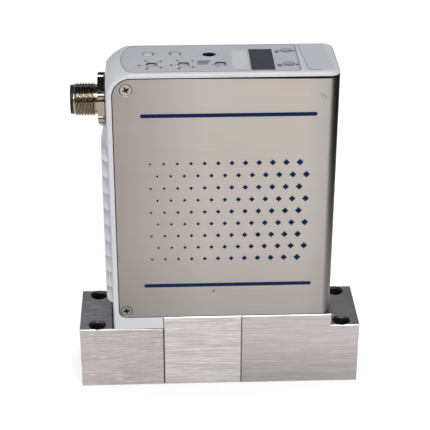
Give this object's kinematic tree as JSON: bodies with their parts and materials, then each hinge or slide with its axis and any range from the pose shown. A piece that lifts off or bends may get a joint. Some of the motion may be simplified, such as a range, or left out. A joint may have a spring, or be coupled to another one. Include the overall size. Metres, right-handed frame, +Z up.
{
  "type": "mass flow controller",
  "caption": "Thermal mass flow controller for a surface-mount gas panel: steel flow body, folded steel cover on a moulded housing, end connector, dials, buttons and display on top.",
  "frame": {"origin": "centre of the mounting face under the flow body", "axes": "+X along the gas path from inlet to outlet, +Y from the front to the back, +Z up from the mounting face"},
  "size_m": [0.105, 0.0286, 0.1273],
  "materials": {
    "flow_body": "brushed",
    "cover_steel": "brushed, satin",
    "bright_steel": "bright, machined",
    "magnetic_steel": "machined",
    "screw_steel": "bright",
    "seal_metal": "bright",
    "seal_rubber": "matte",
    "copper": "bare copper",
    "coil_dark": "wound and taped",
    "bracket_sheet": "satin",
    "board_green": "solder mask",
    "black_plastic": "moulded",
    "flex_amber": "film",
    "dial_grey": "moulded",
    "button_grey": "moulded",
    "lens_clear": "moulded",
    "window_dark": "smoked",
    "overlay_grey": "printed film",
    "tape_white": "adhesive tape",
    "label_grey": "printed film",
    "plated_brass": "nickel plated",
    "contact_gold": "gold plated",
    "housing_white": "moulded, satin",
    "insert_brass": "knurled",
    "ink_navy": "printed ink"
  },
  "bodies": {
    "controller": {"inlet_block": "flow_body", "center_block": "flow_body", "outlet_block": "flow_body", "body_screws": "screw_steel", "body_seal": "seal_metal", "flow_element": "bright_steel", "sensor_base": "bright_steel", "sensor_seals": "seal_rubber", "sensor_tube": "bright_steel", "sensor_windings": "copper", "sensor_can": "bright_steel", "valve_seat": "bright_steel", "valve_spring": "screw_steel", "guide_tube": "bright_steel", "valve_seal": "seal_rubber", "clamp_plate": "bright_steel", "valve_core": "magnetic_steel", "valve_coil": "coil_dark", "valve_yoke": "magnetic_steel", "yoke_cap": "magnetic_steel", "valve_nut": "screw_steel", "deck_screws": "screw_steel", "board_bracket": "bracket_sheet", "main_board": "board_green", "board_chips": "black_plastic", "board_screws": "screw_steel", "board_link": "black_plastic", "sensor_strip": "flex_amber", "coil_strip": "flex_amber", "connector_strip": "flex_amber", "top_board": "board_green", "dial_switches": "black_plastic", "button_switches": "black_plastic", "lamp_lenses": "lens_clear", "diagnostic_jack": "black_plastic", "display_module": "black_plastic", "display_window": "window_dark", "overlay": "overlay_grey", "tape_strip": "tape_white", "data_label": "label_grey", "connector_shell": "plated_brass", "connector_insert": "black_plastic", "connector_pins": "contact_gold", "connector_gasket": "seal_rubber", "connector_nut": "plated_brass", "connector_board": "board_green", "housing": "housing_white", "foot_screws": "screw_steel", "cover": "cover_steel", "cover_screws": "screw_steel", "screw_inserts": "insert_brass", "front_print": "ink_navy"},
    "dial_high": {"dial_high": "dial_grey"},
    "dial_low": {"dial_low": "dial_grey"},
    "dial_rate": {"dial_rate": "dial_grey"},
    "button_back": {"button_back": "button_grey"},
    "button_front": {"button_front": "button_grey"},
    "plunger": {"valve_plunger": "magnetic_steel", "plunger_disc": "seal_rubber"}
  },
  "joints": [
    {"name": "dial_high_turn", "type": "hinge", "parent": "controller", "child": "dial_high", "pos_m": [-0.02368, -0.00551, 0.1263], "axis": [0, 0, 1], "continuous": true},
    {"name": "dial_low_turn", "type": "hinge", "parent": "controller", "child": "dial_low", "pos_m": [-0.01267, -0.00551, 0.1263], "axis": [0, 0, 1], "continuous": true},
    {"name": "dial_rate_turn", "type": "hinge", "parent": "controller", "child": "dial_rate", "pos_m": [0.00012, -0.00551, 0.1263], "axis": [0, 0, 1], "continuous": true},
    {"name": "button_back_press", "type": "slide", "parent": "controller", "child": "button_back", "axis": [0, 0, -1], "range_m": [0, 0.0005], "stiffness_N_per_m": 300},
    {"name": "button_front_press", "type": "slide", "parent": "controller", "child": "button_front", "axis": [0, 0, -1], "range_m": [0, 0.0005], "stiffness_N_per_m": 300},
    {"name": "plunger_lift", "type": "slide", "parent": "controller", "child": "plunger", "axis": [0, 0, 1], "range_m": [0, 0.0004], "stiffness_N_per_m": 2000, "springref_m": -0.0005, "deforming": ["valve_spring"]}
  ]
}
